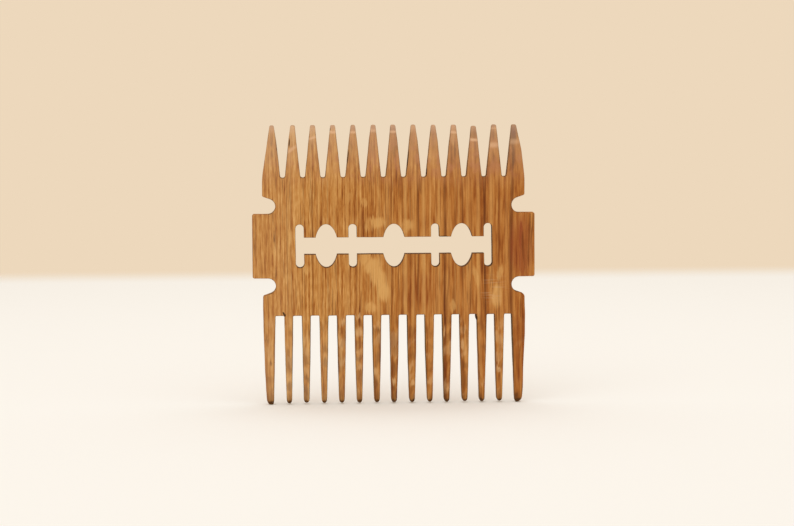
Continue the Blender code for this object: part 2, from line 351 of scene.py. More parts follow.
def long_tooth(i, centre):
    knee_height = LONG_TOOTH_LENGTH * LONG_TOOTH_KNEE_SHARE
    tip = centre + vary(i, 6, TIP_SWAY)
    bottom = LONG_TIP_LIFT + abs(vary(i, 7, TIP_DROP))
    swell = RIGHT_TOOTH_SWELL / 2 * (1 - i / (LONG_TOOTH_COUNT - 1))
    tip_half = LONG_TOOTH_TIP_WIDTH / 2 * (1 + vary(i, 8, LONG_TIP_SPREAD))
    knee_half = (LONG_TOOTH_KNEE_WIDTH / 2 + swell / 2) * (1 + vary(i, 9, LONG_KNEE_SPREAD))
    root_half = LONG_TOOTH_ROOT_WIDTH / 2 + swell
    right_root = LONG_TOOTH_LENGTH + vary(i, 10, ROOT_STRAY)
    left_root = LONG_TOOTH_LENGTH + vary(i + 1, 10, ROOT_STRAY)
    arch = []
    for step in range(ARCH_STEPS + 1):
        angle = math.pi * step / ARCH_STEPS
        height = bottom + LONG_TIP_ARCH * (1 - math.sin(angle))
        arch.append((tip + tip_half * math.cos(angle), height, 0))
    side = centre - root_half
    root = [(side, left_root, LONG_GAP_CORNER_RADIUS)]
    if i == SPLINTERED_TOOTH:
        root = [(side - reach, left_root - drop, 0) for reach, drop in reversed(SPLINTER)]
    right = [(centre + root_half, right_root, LONG_GAP_CORNER_RADIUS)]
    right.append((centre + knee_half, knee_height, LONG_TOOTH_BEND_RADIUS))
    return right + arch + [(centre - knee_half, knee_height, LONG_TOOTH_BEND_RADIUS)] + root


def long_row():
    right = guard_tooth(RIGHT_GUARD_FLANK, RIGHT_GUARD_TIP, RIGHT_TOOTH_SWELL)
    left = guard_tooth(LEFT_GUARD_FLANK, LEFT_GUARD_TIP, 0)
    middle = (LONG_TOOTH_COUNT - 1) / 2
    corners = list(right)
    for i in range(LONG_TOOTH_COUNT):
        corners += long_tooth(i, (middle - i) * LONG_TOOTH_PITCH)
    return corners + [(-x, z, radius) for x, z, radius in reversed(left)]


def outer_edge(up):
    end = tab_and_notch(up)
    flare_start = end[-1]
    right_radius = SHOULDER_CORNER_RADIUS if up > 0 else WORN_CORNER_RADIUS
    right = shoulder_corner(flare_start, up, right_radius)
    left = shoulder_corner(flare_start, up, SHOULDER_CORNER_RADIUS)
    row = short_row() if up > 0 else long_row()
    corners = [(flare_start.x, flare_start.y, 0), right] + row
    corners += [(-left[0], left[1], left[2]), (-flare_start.x, flare_start.y, 0)]
    return end[:-1] + rounded(corners) + mirrored(end[:-1])


def oval_arc(centre):
    cut = math.asin(CHANNEL_HEIGHT / OVAL_HEIGHT)
    sweep = math.pi - 2 * cut
    line = []
    for i in range(OVAL_STEPS + 1):
        angle = math.pi - cut - sweep * i / OVAL_STEPS
        across, up = OVAL_WIDTH / 2 * math.cos(angle), OVAL_HEIGHT / 2 * math.sin(angle)
        line.append(Vector((centre + across, up)))
    return line


def cross_slot(centre):
    half = CROSS_SLOT_WIDTH / 2
    end_centre = Vector((centre, CROSS_SLOT_HEIGHT / 2 - half))
    foot = Vector((half, CHANNEL_HEIGHT / 2))
    round_end = arc(end_centre, Vector((-half, 0)), -math.pi)
    return [Vector((centre - foot.x, foot.y))] + round_end + [Vector((centre + foot.x, foot.y))]


def cutout_edge(up):
    line = [Vector((-CUTOUT_LENGTH / 2, 0))] + cross_slot(-END_SLOT_PLACE)[1:]
    line += oval_arc(-OVAL_PLACE) + cross_slot(-CROSS_SLOT_PLACE)
    whole = line + oval_arc(0) + mirrored(line)
    edge = []
    for point in whole:
        shift = CUTOUT_SHIFT - CUTOUT_LEAN * up * point.y
        edge.append(Vector((point.x + shift, SPINE_MIDDLE + up * point.y)))
    return edge


def filled_in(line):
    """The same line with points added where its straight stretches are long."""
    dense = [line[0]]
    for point in line[1:]:
        start = dense[-1]
        length = (point - start).length
        if length < SNAP:
            continue
        steps = max(1, math.ceil(length / LONGEST_EDGE))
        dense += [start.lerp(point, i / steps) for i in range(1, steps + 1)]
    return dense


def inward(loop):
    """At each point of a closed loop, the mitred step towards the wood on the loop's left."""
    steps = []
    count = len(loop)
    for i, point in enumerate(loop):
        before = (point - loop[i - 1]).normalized()
        after = (loop[(i + 1) % count] - point).normalized()
        side_a = Vector((-before.y, before.x))
        side_b = Vector((-after.y, after.x))
        middle = (side_a + side_b).normalized()
        steps.append(middle / max(0.5, middle.dot(side_a)))
    return steps


def wandered(loop):
    """The loop as a hand-guided saw and sanding leave it: its points stray a little."""
    strayed = []
    for point, step in zip(loop, inward(loop)):
        place = Vector((point.x / WANDER_LENGTH, point.y / WANDER_LENGTH, WANDER_LEVEL))
        moved = point + step.normalized() * WANDER * noise.noise(place)
        inside = (min(TAB_END, max(-TAB_END, moved.x)), min(HEIGHT, max(0.0, moved.y)))
        strayed.append(Vector(inside))
    return strayed


def outer_side(height):
    """How far from the comb's middle the outer flank stands at a height."""
    if height < LONG_TOOTH_LENGTH:
        return SHOULDER - GUARD_TOOTH_LEAN * (1 - height / LONG_TOOTH_LENGTH)
    if height > SHORT_ROOTS:
        share = (height - SHORT_ROOTS) / SHORT_TOOTH_LENGTH
        return SHOULDER - (SHORT_ROW_INSET - SHORT_TOOTH_TIP_WIDTH / 2) * share
    return SHOULDER


def rim_width(point):
    outerness = (abs(point.x) - outer_side(point.y) + OUTER_REACH) / OUTER_REACH
    share = min(1.0, max(0.0, outerness))
    return TOOTH_RIM + (OUTER_RIM - TOOTH_RIM) * share


def sanded(from_tip, taper_length, tip_thickness, tip_round):
    full = THICKNESS / 2
    thin = tip_thickness / 2
    if from_tip < tip_round:
        over = min(1.0, 1 - from_tip / tip_round)
        return thin * (TIP_END_SHARE + (1 - TIP_END_SHARE) * math.sqrt(1 - over * over))
    along = min(1.0, (from_tip - tip_round) / (taper_length - tip_round))
    slope = 1 / (1 - TAPER_BLEND_SHARE / 2)
    rise = along * slope
    if along > 1 - TAPER_BLEND_SHARE:
        rest = 1 - along
        rise = 1 - slope * rest * rest / (2 * TAPER_BLEND_SHARE)
    return thin + (full - thin) * rise


def half_thickness(height):
    if height < SPINE_MIDDLE:
        return sanded(max(0.0, height), LONG_TAPER_LENGTH, LONG_TIP_THICKNESS, LONG_TIP_ROUND)
    from_top = max(0.0, HEIGHT - height)
    return sanded(from_top, SHORT_TAPER_LENGTH, SHORT_TIP_THICKNESS, SHORT_TIP_ROUND)


def band_drops(taper_length, tip_round):
    rounding = [tip_round * (i / TIP_BANDS) ** 2 for i in range(1, TIP_BANDS + 1)]
    slope = taper_length - tip_round
    return rounding + [tip_round + slope * i / TAPER_BANDS for i in range(1, TAPER_BANDS + 1)]


def rim_ring(work, loop, widths, step, side):
    """One ring of the rounded rim: step 0 is on the wall, the last one on the face."""
    angle = math.pi / 2 * step / RIM_STEPS
    ring = []
    for point, into, width in zip(loop, inward(loop), widths):
        place = point + into * width * (1 - math.cos(angle))
        depth = THICKNESS / 2 - width * (1 - math.sin(angle))
        ring.append(work.verts.new((place.x, side * depth, place.y)))
    return ring


def bridge(work, first, second):
    count = len(first)
    for i in range(count):
        j = (i + 1) % count
        work.faces.new((first[i], first[j], second[j], second[i]))


def rimmed(work, loop, widths):
    """The wall of one closed loop with its rounded rims. Returns its last ring on each face."""
    front = [rim_ring(work, loop, widths, step, -1) for step in range(RIM_STEPS + 1)]
    back = [rim_ring(work, loop, widths, step, 1) for step in range(RIM_STEPS + 1)]
    rings = list(reversed(front)) + back
    for first, second in zip(rings, rings[1:]):
        bridge(work, first, second)
    return front[-1], back[-1]


def halves(loop):
    """Splits a closed loop where it crosses the comb's middle line, at its right and left ends."""
    on_line = [i for i, point in enumerate(loop) if abs(point.y - SPINE_MIDDLE) < SNAP]
    right = max(on_line, key=lambda i: loop[i].x)
    left = min(on_line, key=lambda i: loop[i].x)
    return right, left


def chain(ring, start, end):
    count = len(ring)
    length = (end - start) % count
    return [ring[(start + i) % count] for i in range(length + 1)]


def comb_mesh():
    upper_outer, lower_outer = outer_edge(1), outer_edge(-1)
    outer = filled_in(upper_outer + list(reversed(lower_outer)))[:-1]
    upper_cut, lower_cut = cutout_edge(1), cutout_edge(-1)
    cutout = filled_in(upper_cut + list(reversed(lower_cut)))[:-1]
    outer_ends, cutout_ends = halves(outer), halves(cutout)
    outer, cutout = wandered(outer), wandered(cutout)
    work = bmesh.new()
    outer_caps = rimmed(work, outer, [rim_width(point) for point in outer])
    cutout_caps = rimmed(work, cutout, [CUTOUT_RIM] * len(cutout))
    for outer_cap, cutout_cap in zip(outer_caps, cutout_caps):
        right, left = outer_ends
        cut_right, cut_left = cutout_ends
        work.faces.new(chain(outer_cap, right, left) + chain(cutout_cap, cut_left, cut_right))
        work.faces.new(chain(outer_cap, left, right) + chain(cutout_cap, cut_right, cut_left))
    bmesh.ops.recalc_face_normals(work, faces=work.faces)
    heights = band_drops(LONG_TAPER_LENGTH, LONG_TIP_ROUND)
    heights += [HEIGHT - drop for drop in band_drops(SHORT_TAPER_LENGTH, SHORT_TIP_ROUND)]
    for height in heights:
        bmesh.ops.bisect_plane(
            work,
            geom=work.verts[:] + work.edges[:] + work.faces[:],
            dist=SNAP,
            plane_co=(0, 0, height),
            plane_no=(0, 0, 1),
        )
    for vertex in work.verts:
        vertex.co.y *= half_thickness(vertex.co.z) / (THICKNESS / 2)
        vertex.co *= MM
    mesh = bpy.data.meshes.new("carved_comb")
    work.to_mesh(mesh)
    work.free()
    return mesh


# Material nodes

# How a noise layer's shift is shared out, and how much of a soft patch is at full strength
SHIFT_SHARES = (1, 0.7, 1.3)
SOFT_CORE = 0.15


def node_with(kind, *values):
    """A new node in the tree of those values that are sockets."""
    sockets = (value for value in values if isinstance(value, bpy.types.NodeSocket))
    return next(sockets).id_data.nodes.new(kind)


def feed(socket, value):
    """Links a socket to another one, or sets it to a plain value."""
    if isinstance(value, bpy.types.NodeSocket):
        socket.id_data.links.new(value, socket)
    else:
        socket.default_value = value


def maths(operation, *values):
    node = node_with("ShaderNodeMath", *values)
    node.operation = operation
    for socket, value in zip(node.inputs, values):
        feed(socket, value)
    return node.outputs[0]


def add(*values):
    total = values[0]
    for value in values[1:]:
        total = maths("ADD", total, value)
    return total


def times(*values):
    total = values[0]
    for value in values[1:]:
        total = maths("MULTIPLY", total, value)
    return total


def ramp(value, start, end, low=0.0, high=1.0):
    """Goes smoothly from low to high as the value goes from start to end."""
    node = node_with("ShaderNodeMapRange", value)
    node.interpolation_type = "SMOOTHSTEP"
    flip = start > end
    feed(node.inputs["Value"], value)
    node.inputs["From Min"].default_value = end if flip else start
    node.inputs["From Max"].default_value = start if flip else end
    node.inputs["To Min"].default_value = high if flip else low
    node.inputs["To Max"].default_value = low if flip else high
    return node.outputs["Result"]


def stretched(place, factors, shift=(0.0, 0.0, 0.0)):
    node = node_with("ShaderNodeVectorMath", place)
    node.operation = "MULTIPLY_ADD"
    feed(node.inputs[0], place)
    node.inputs[1].default_value = factors
    node.inputs[2].default_value = shift
    return node.outputs[0]


def cloud(place, factors, shift, detail):
    """Noise from 0 to 1 round a half, whose patches are 1/factor millimetres long each way."""
    node = node_with("ShaderNodeTexNoise", place)
    shifts = [shift * share for share in SHIFT_SHARES]
    feed(node.inputs["Vector"], stretched(place, factors, shifts))
    node.inputs["Scale"].default_value = 1.0
    node.inputs["Detail"].default_value = detail
    return node.outputs["Fac"]


def mask(place, factors, shift, detail, start, end, low, high):
    """Noise that goes from low to high as it goes from start to end."""
    return ramp(cloud(place, factors, shift, detail), start, end, low, high)


def centred(value, amount):
    """A noise value turned into plus or minus the amount."""
    return times(maths("SUBTRACT", value, 0.5), 2 * amount)


def blend(factor, first, second, mode="MIX"):
    """The second colour laid over the first. Sockets 6 and 7 are the node's colour inputs."""
    node = node_with("ShaderNodeMix", factor, first, second)
    node.data_type = "RGBA"
    node.blend_type = mode
    node.clamp_factor = True
    feed(node.inputs[0], factor)
    feed(node.inputs[6], first)
    feed(node.inputs[7], second)
    return node.outputs[2]


def toned(value, tones):
    """A colour ramp through stops, each a place and a colour."""
    node = node_with("ShaderNodeValToRGB", value)
    stops = node.color_ramp.elements
    for i, (place, tint) in enumerate(tones):
        stop = stops[i] if i < 2 else stops.new(place)
        stop.position = place
        stop.color = tint
    feed(node.inputs[0], value)
    return node.outputs[0]


def split(vector):
    node = node_with("ShaderNodeSeparateXYZ", vector)
    feed(node.inputs[0], vector)
    return node.outputs


def joined(x, y, z):
    node = node_with("ShaderNodeCombineXYZ", x, y, z)
    for socket, value in zip(node.inputs, (x, y, z)):
        feed(socket, value)
    return node.outputs[0]


def linear(value):
    """An sRGB level from 0 to 255 as a share of light."""
    share = value / 255
    return share / 12.92 if share <= 0.04045 else ((share + 0.055) / 1.055) ** 2.4


def colour(red, green, blue):
    return (linear(red), linear(green), linear(blue), 1.0)


def line_at(grain, place, width, strength):
    """A line along the grain: its strength at its middle, 0 from its width on."""
    away = maths("ABSOLUTE", maths("SUBTRACT", grain, place))
    return ramp(away, width, 0.0, 0.0, strength)


def spot(place, middle, half_size, tilt, strength, core):
    """A soft oval patch: its strength at its middle, 0 from its edge on, its top tilted right."""
    lean = math.radians(tilt)
    along = Vector((math.sin(lean), 0.0, math.cos(lean))) / half_size[1]
    across = Vector((math.cos(lean), 0.0, -math.sin(lean))) / half_size[0]
    inward = Vector((0.0, 1.0, 0.0)) / PATCH_DEPTH
    if tilt == 0:
        scale = across + inward + along
        local = stretched(place, scale, Vector(-a * b for a, b in zip(scale, middle)))
    else:
        parts = [projected(place, axis, middle) for axis in (across, inward, along)]
        local = joined(*parts)
    reach = node_with("ShaderNodeVectorMath", place)
    reach.operation = "LENGTH"
    feed(reach.inputs[0], local)
    return ramp(reach.outputs["Value"], 1.0, core, 0.0, strength)


def projected(place, axis, middle):
    """How far a place lies from the middle along an axis."""
    node = node_with("ShaderNodeVectorMath", place)
    node.operation = "DOT_PRODUCT"
    feed(node.inputs[0], place)
    node.inputs[1].default_value = axis
    return maths("SUBTRACT", node.outputs["Value"], axis.dot(middle))


def strongest(values):
    """The largest of many values. They come from a generator, so that few are alive at a time."""
    total = 0.0
    for value in values:
        total = maths("MAXIMUM", total, value)
    return total


def patches(place, rows, core=SOFT_CORE):
    """The strongest of many spots, given as rows: photo column and row, half width, half height,
    tilt and strength."""
    return strongest(spot(place, on_front(*row[:2]), row[2:4], *row[4:], core) for row in rows)


def upright(rows, sign=1):
    """Rows for patches from rows without a tilt: the pale ones for 1, the dark ones for -1."""
    return [(*row[:4], 0, abs(row[4])) for row in rows if row[4] * sign > 0]


def mixed(share, first, second):
    """A shader that is the first at a share of 0 and the second at 1."""
    node = node_with("ShaderNodeMixShader", share)
    for socket, value in zip(node.inputs, (share, first.outputs[0], second.outputs[0])):
        feed(socket, value)
    return node


def seen_directly(tree):
    """1 for rays from the camera, mirrored and bent ones too, and 0 for rays that gather light."""
    path = tree.nodes.new("ShaderNodeLightPath")
    direct = maths("MAXIMUM", path.outputs["Is Camera Ray"], path.outputs["Is Glossy Ray"])
    return maths("MAXIMUM", direct, path.outputs["Is Transmission Ray"])


# How far the grain shifts across the comb through its thickness, how much finer than its noise
# it is on the left and on the right, how wide a growth ring is and by what share it strays
GRAIN_SLANT = 0.1
LEFT_SCALE = 1.2
RIGHT_SCALE = 0.8
RING = 1.4
RING_STRAY = 0.4

# Noise layers: how many patches to a millimetre they have across, through and up the comb, a
# shift that sets each apart, and its detail
SLOW_WANDER = ((0.05, 0.02, 0.016), 3.1, 1)
QUICK_WANDER = ((0.3, 0.08, 0.08), 8.4, 1)
BROAD_STREAKS = ((0.42, 0.12, 0.012), 1, 2)
MEDIUM_STREAKS = ((1.05, 0.3, 0.024), 5, 1)
FINE_STREAKS = ((1.8, 0.7, 0.04), 9, 1)
HAIR_STREAKS = ((2.4, 1.4, 0.14), 14, 1)
DASHES = ((2.2, 1.4, 0.42), 121, 1)
FLEECE = ((1.3, 0.8, 0.36), 17, 2)
VEINS = ((0.85, 0.4, 0.02), 27, 1)
CROSS_CLOUDS = ((0.34, 0.2, 0.24), 71, 2)

# Noise masks: the same, then the noise between which the mask comes in, and how strong it is there
RAGGED = ((1.3, 0.5, 0.16), 51, 2, 0.34, 0.6, 0.55, 1)
BACK_FLECKS = ((0.16, 0.2, 0.07), 61, 2, 0.58, 0.7, 0, 0.55)
LINE_BREAKS = ((0.5, 0.3, 0.05), 21, 2, 0.3, 0.58, 0.45, 1)
PORES = ((3, 3, 0.11), 33, 0, 0.64, 0.74, 0, 1)
PORE_ROWS = ((0.55, 0.4, 0.02), 40, 1, 0.42, 0.6, 0.15, 1)
SCRATCHES = ((0.2, 0.2, 3), 91, 0, 0.56, 0.72, 0, 0.28)
ROSY_CLOUDS = ((0.45, 0.2, 0.28), 111, 2, 0.45, 0.62, 0, 0.48)
WALL_STREAKS = ((0.8, 0.8, 0.2), 81, 2, 0.35, 0.65, 0.38, 0.7)

# How far noise moves the grain, the torn edges of patches and the long tips' brown, in millimetres
SLOW_REACH = 0.7
QUICK_REACH = 0.16
TORN_ACROSS = 0.5
TORN_BY_HAIR = 1.5
TORN_BY_FINE = 1.1
TIP_STRAY = 0.5

# The wood's mean tone, and what each layer adds to it at most
MEAN_TONE = 0.7
FLECK_TONE = 0.3
BROAD_TONE = 0.22
MEDIUM_TONE = 0.28
FINE_TONE = 0.42
HAIR_TONE = 0.52
DASH_TONE = 0.32
FLEECE_TONE = 0.14
VEIN_TONE = -0.15
RIGHT_TONE = -0.13

# Fades: the two values between which a look changes, and its strength there if not 0 and 1.
# Across the comb, in millimetres to the right of its middle
RIGHTNESS = (-26, 24)
BROAD_ACROSS = (-5, 15, 1, 1.6)
MEDIUM_ACROSS = (-5, 15, 1, 0.7)
HAIR_ACROSS = (-32, 10, 0.9, 0.8)
DASHES_ACROSS = (-20, 8, 1, 0.2)
CALM_LEFT = (-34, 4, 0.48, 1)
CALM_RIGHT = (19, 35.5, 1, 0.5)
RINGS_ACROSS = (-6, 12, -0.19, -0.07)
FIGURE_ACROSS = (31, 34, 1, 0.2)
ROSE_ACROSS = (-30, 0, 0.5, 1)
HAZE_ACROSS = (5, -25)
LEFT_HAZE = (-24, -33, 0, 0.09)
RUBBED_ACROSS = (20, 36, 1, 0.45)
# To either side of its middle, and above and below the cut-out's
CUTOUT_ENDS = (29.6, 28.9)
CUTOUT_TOPS = (7, 6.7)
OUTSIDE = (35.2, 36.4)
# Towards its back
BACK_HALF = (-0.4, 0.6)
# Up the comb, in millimetres above the floor
STREAKS_UP = (61, 67, 1, 0.75)
FLEECE_UP = (61, 67, 1, 2.4)
LINES_UP = (60, 67, 1, 0.4)
LINES_DOWN = (28, 22, 1, 0.6)
FLANKS_DOWN = (28, 22, 0.5, 0.9)
SHORT_TEETH = (61, 69)
LONG_TEETH = (27, 22)
SHORT_HAZE = (60, 80, 0, 0.42)
LONG_HAZE = (28, 8, 0, 0.14)
RUBBED_TIPS = (77, 79.6, 0, 0.42)
# The next three lay the long tips' darker end grain and their painted shade
TIPS_BROWN_AND_SHADED = (4.4, 0.6, 0, 0.45)
ENDS_BROWN_AND_SHADED = (1.5, 0.75, 0, 0.6)
UNDERSIDE_SHADE_UP = (2.5, 1.2, 0, 0.85)
# With noise, and with a ring's sine
VEIN_EDGE = (0.045, 0)
RING_EDGE = (-0.2, 1)
RED_FIGURE = (0.35, 0.65, 0.58, 0.92)
CUTOUT_FIGURE = (0.36, 0.62, 1, 0.7)
FLANK_FIGURE = (0.38, 0.62, 0.7, 1.05)
# With how squarely a surface faces the front or back, and with how far it faces up
TOOTH_RIM_BURN_AND_SHADE = (0.988, 0.65)
CUTOUT_WALL = (0.995, 0.7)
FLANK_WALL = (0.985, 0.4)
DULL_WALL = (0.9, 0.3, 0, 0.35)
UNDERSIDE = (-0.1, -0.75)

# How strongly some of the looks are laid over the wood, and how the cross figure leans
PORE_MIX = 0.55
FLECK_MIX = 0.84
PATCH_MIX = 1.3
MAUVE_MIX = 0.8
CROSS_LEAN = -0.35

# Gloss and relief, and what the fine streaks, the hairs, the pores and the flecks add to them
ROUGHNESS = 0.5
FINE_ROUGHNESS = 0.1
PORE_ROUGHNESS = 0.18
FLECK_ROUGHNESS = -0.1
FINE_RELIEF = 0.5
HAIR_RELIEF = 0.35
PORE_RELIEF = -0.9
SPECULAR = 0.16
BUMP_STRENGTH = 0.35
BUMP_DEPTH = 0.12

# Oak colours, from its darkest streaks to its palest ones
OAK_TONES = (
    (0, colour(104, 46, 8)),
    (0.25, colour(152, 84, 24)),
    (0.5, colour(184, 118, 50)),
    (0.75, colour(202, 141, 72)),
    (1, colour(221, 166, 98)),
)
RIGHT_TINT = colour(247, 236, 226)
OAK_RED = colour(146, 66, 30)
LINE_BROWN = colour(98, 44, 8)
PORE_BROWN = colour(110, 56, 18)
FLECK_TAN = colour(220, 166, 96)
BURNT = colour(104, 66, 30)
# Saw burn on the teeth's walls, and painted shade on their rounded rims
RIM_BURN_AND_SHADE = colour(110, 82, 46)
ROSE = colour(184, 114, 76)
FIGURE_CREAM = colour(226, 178, 120)
FLANK_BROWN = colour(150, 92, 40)
TIP_MAUVE = colour(150, 112, 94)
TOOTH_HAZE = colour(214, 174, 132)
BAND_CREAM = colour(232, 184, 142)
TIP_HAZE = colour(225, 184, 152)
# Darker end grain at the long teeth's tips, and painted shade under them
TIP_BROWN_AND_SHADE = colour(84, 50, 14)
# Black for burnt edges and tears, and for painted shade along one arris in the cut-out
BLACK_MARKS_AND_SHADE = colour(38, 20, 10)

# Dark growth lines: photo column on the row named here, width in millimetres and strength
LINE_ROW = 230
DARK_LINES = (
    (287.5, 0.35, 0.45), (291.5, 0.35, 0.4), (304.5, 0.35, 0.35), (312.8, 0.4, 0.6),
    (323, 0.35, 0.35), (328, 0.4, 0.35), (338, 0.35, 0.2), (349.8, 0.35, 0.3),
    (356, 0.4, 0.45), (366, 0.4, 0.2), (372.8, 0.35, 0.3), (385.5, 0.35, 0.4),
    (391.2, 0.35, 0.65), (402.5, 0.35, 0.6), (410.2, 0.35, 0.5), (418, 0.45, 0.95),
    (428.5, 0.35, 0.15), (435.9, 0.35, 0.5), (444.4, 0.3, 1.25), (444.9, 0.7, 1),
    (455.2, 0.45, 0.45), (462.6, 0.5, 0.7), (471.8, 0.4, 0.45), (484.8, 0.25, 1.15),
    (485.6, 0.6, 1), (499.2, 0.6, 0.5), (511.3, 0.25, 1.15), (512.2, 0.85, 1),
    (527, 0.6, 0.3),
)

# Pale growth bands
PALE_LINES = (
    (289.3, 0.5, 0.4), (300.5, 0.7, 0.35), (318.8, 0.7, 0.5), (334.3, 0.8, 0.45),
    (346.8, 0.7, 0.5), (360.5, 0.7, 0.35), (378, 0.9, 0.6), (388, 0.6, 0.45),
    (405.5, 0.7, 0.6), (413.3, 0.6, 0.55), (423.5, 0.8, 0.65), (438.8, 0.7, 0.55),
    (448.8, 0.6, 0.35), (458.5, 0.6, 0.5), (468.3, 0.9, 0.6), (478.8, 0.9, 0.5),
    (491.5, 1.1, 0.45), (507, 1, 0.25), (531.5, 0.6, 0.3),
)

# Both kinds of growth lines, with how strong they get and their colour
GROWTH_LINES = ((PALE_LINES, 0.85, FLECK_TAN), (DARK_LINES, 0.8, LINE_BROWN))

# The tables from here on place what the photo shows. Their rows start with a photo column and
# row, and sizes are in millimetres and tilts in degrees.
# Slow changes of tone: half width, half height, and how much paler (above 0) or darker (below 0)
SHADES = (
    (376, 292, 8, 8, 0.12), (462, 290, 7, 8, 0.08),
    (497, 288, 5, 9, 0.07), (285, 245, 5, 10, 0.08),
    (300, 350, 16, 16, 0.14), (488, 350, 12, 14, 0.1),
    (300, 200, 9, 8, 0.1), (300, 291, 9, 7, 0.06),
    (338, 291, 8, 7, 0.06), (340, 203, 7, 7, -0.1),
    (420, 290, 6, 7, -0.08), (502, 245, 3, 9, -0.07),
    (518.5, 245, 2.6, 8, -0.08), (517, 350, 3, 15, -0.1),
    (500, 158, 9, 7, -0.07),
)

# Ray flecks on the front: half width, half height, tilt and strength
FLECKS = (
    (364.5, 258, 3.2, 2, -60, 0.8), (373, 265.5, 3.4, 2.7, -36, 0.9),
    (378, 277, 2.7, 4.4, -16, 1), (383, 291, 2.5, 3.9, -12, 1),
    (370, 307.5, 2.3, 1.9, 0, 0.75), (376.5, 222.5, 3.4, 2, 0, 0.75),
    (370.5, 226, 2.4, 1.7, -50, 0.45), (407.5, 224.5, 2.2, 1.9, 0, 0.6),
    (404.5, 229.5, 1.5, 1.4, 0, 0.4), (476, 276, 1, 4, -14, 0.5),
    (497, 296, 1.7, 4.6, 4, 0.95), (500, 273.5, 1.1, 2.8, 11, 0.55),
    (306.5, 270, 1.1, 2.2, -25, 0.55), (290, 238, 1, 2.8, 0, 0.5),
    (275.5, 253, 1.4, 3.2, -10, 0.35), (286.5, 278, 1.2, 1.9, 0, 0.35),
    (453, 306, 1.2, 2.2, 0, 0.6), (364, 203, 1.3, 1.7, 0, 0.5),
    (349, 198, 0.9, 2.2, 0, 0.35),
)
FLECK_CORE = 0.45

# How deep any patch reaches into the comb from its front, in millimetres
PATCH_DEPTH = 2.6

# Where the right tab, the end tooth below it and one stretch of the spine are redder: half width,
# half height and strength
REDDENED = (
    (521.5, 246, 4.2, 11, 0.62), (521, 236, 0.8, 6, 1),
    (522.3, 260, 1.4, 5.5, 0.95), (518, 350, 2.6, 14, 0.12),
    (420, 290, 7.5, 6.5, 0.13),
)
RED_CORE = 0.6

# Where the spine is scuffed, given as the flecks are
SCUFFED = ((494, 288, 5.5, 5.5, 0, 1),)

# Pale bands across the short teeth: half height, tilt and strength
TOOTH_BANDS = (
    (291.5, 149.5, 0.8, -36, 0.6), (312.5, 138, 0.6, -18, 0.75),
    (332.5, 132.3, 0.7, 0, 0.9), (352.5, 132.3, 0.62, 0, 0.85),
    (372.5, 130.6, 0.85, 0, 0.7), (393, 131.8, 0.62, 0, 0.85),
    (453.5, 132.3, 0.62, 6, 0.85), (473, 139.8, 0.72, 4, 0.9),
    (493.5, 145, 1.25, 0, 0.62), (493.5, 128.2, 0.4, 0, 0.55),
    (514, 141.5, 1.25, 0, 0.45),
)
BAND_HALF_WIDTH = 3.4

# Greyish mauve ends of the short teeth, given as the redder places are
MAUVE_TIPS = (
    (271.5, 126, 2.5, 1.1, 0.75), (312, 126, 2.5, 1.1, 0.55),
    (332.5, 126.5, 2.5, 1.1, 0.65), (352.5, 127, 2.5, 1.6, 0.7),
    (372.5, 127.5, 2.5, 2, 0.5), (393, 128, 2.5, 2.6, 0.8),
    (433, 130, 2.5, 4.2, 0.45), (473, 131, 2.5, 3, 0.25),
    (493, 125, 2.5, 0.9, 0.8), (493, 134, 2.5, 3, 0.35),
    (513.5, 129.5, 2.5, 3.8, 1),
)

